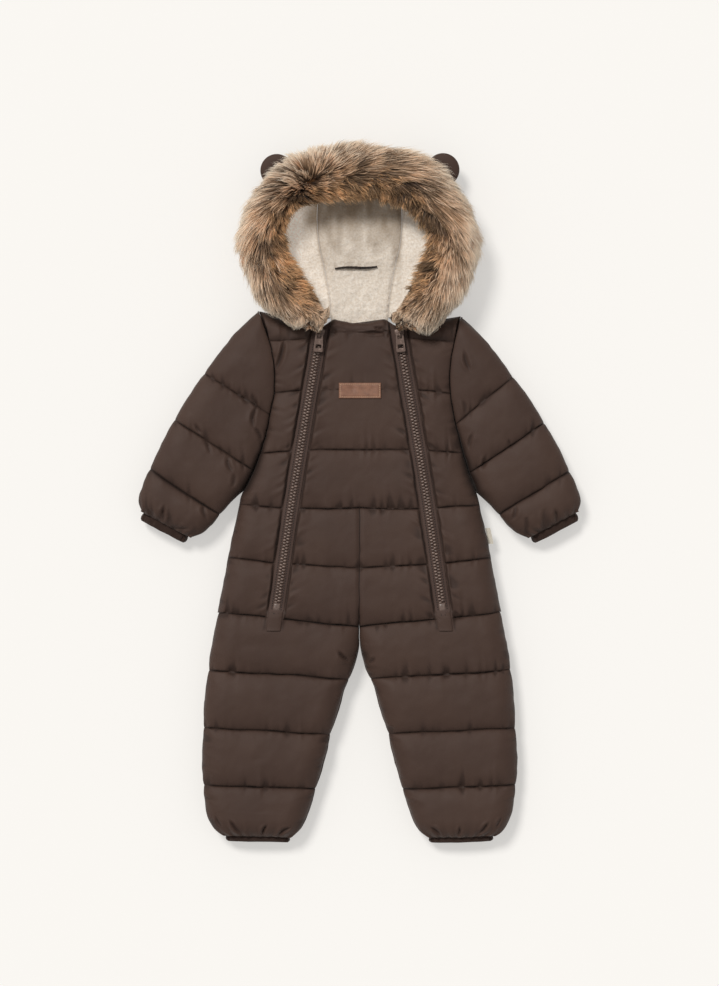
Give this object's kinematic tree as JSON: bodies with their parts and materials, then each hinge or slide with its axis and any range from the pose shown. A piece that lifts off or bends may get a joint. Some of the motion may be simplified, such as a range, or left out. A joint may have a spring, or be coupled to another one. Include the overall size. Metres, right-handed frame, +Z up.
{
  "type": "baby snowsuit with fur-trimmed hood",
  "caption": "Padded, quilted baby snowsuit lying flat, front up, with fur-trimmed pile-lined hood, round ears, slanting front zips and gathered cuffs.",
  "frame": {"origin": "middle of the garment's bounding box, on the surface it lies on", "axes": "+Y from the ankles to the hood, +Z up from the surface out of the garment's front, +X to the viewer's right as seen from above"},
  "size_m": [0.5308, 0.8416, 0.0762],
  "materials": {
    "shell_fabric": "matt woven polyester, quilted over padding",
    "band_fabric": "matt elastic binding",
    "pile_lining": "curly off-white pile",
    "faux_fur": "long faux fur, light brown with dark bands",
    "zip_tape_and_chain": "moulded plastic teeth on woven tape",
    "zip_hardware": "satin brown paint",
    "leather_patch": "plain tan leather-look, bare",
    "label_fabric": "blank woven label",
    "loop_cord": "dark brown cord"
  },
  "bodies": {
    "snowsuit": {"ankle_band_left": "band_fabric", "ankle_band_right": "band_fabric", "back_left": "shell_fabric", "back_right": "shell_fabric", "chest_patch": "leather_patch", "cuff_band_left": "band_fabric", "cuff_band_right": "band_fabric", "ear_left": "shell_fabric", "ear_right": "shell_fabric", "front_centre": "shell_fabric", "front_lower_left": "shell_fabric", "front_lower_right": "shell_fabric", "front_side_left": "shell_fabric", "front_side_right": "shell_fabric", "fur_trim": "faux_fur", "hanger_loop": "loop_cord", "hood_centre": "shell_fabric", "hood_side_left": "shell_fabric", "hood_side_right": "shell_fabric", "leg_front_left": "shell_fabric", "leg_front_right": "shell_fabric", "lining_centre": "pile_lining", "lining_side_left": "pile_lining", "lining_side_right": "pile_lining", "side_label_right": "label_fabric", "sleeve_under_left": "shell_fabric", "sleeve_under_right": "shell_fabric", "sleeve_upper_left": "shell_fabric", "sleeve_upper_right": "shell_fabric", "slider_left": "zip_hardware", "slider_right": "zip_hardware", "zip_left": "zip_tape_and_chain", "zip_right": "zip_tape_and_chain"},
    "pull_tab_left": {"pull_tab_left": "zip_hardware"},
    "pull_tab_right": {"pull_tab_right": "zip_hardware"}
  },
  "joints": [
    {"name": "pull_tab_left_hinge", "type": "hinge", "parent": "snowsuit", "child": "pull_tab_left", "pos_m": [-0.04798, 0.189, 0.04133], "axis": [-0.9969, 0.0782, 0], "range_deg": [0, 85]},
    {"name": "pull_tab_right_hinge", "type": "hinge", "parent": "snowsuit", "child": "pull_tab_right", "pos_m": [0.04798, 0.189, 0.04131], "axis": [-0.9969, -0.0782, 0], "range_deg": [0, 85]}
  ]
}
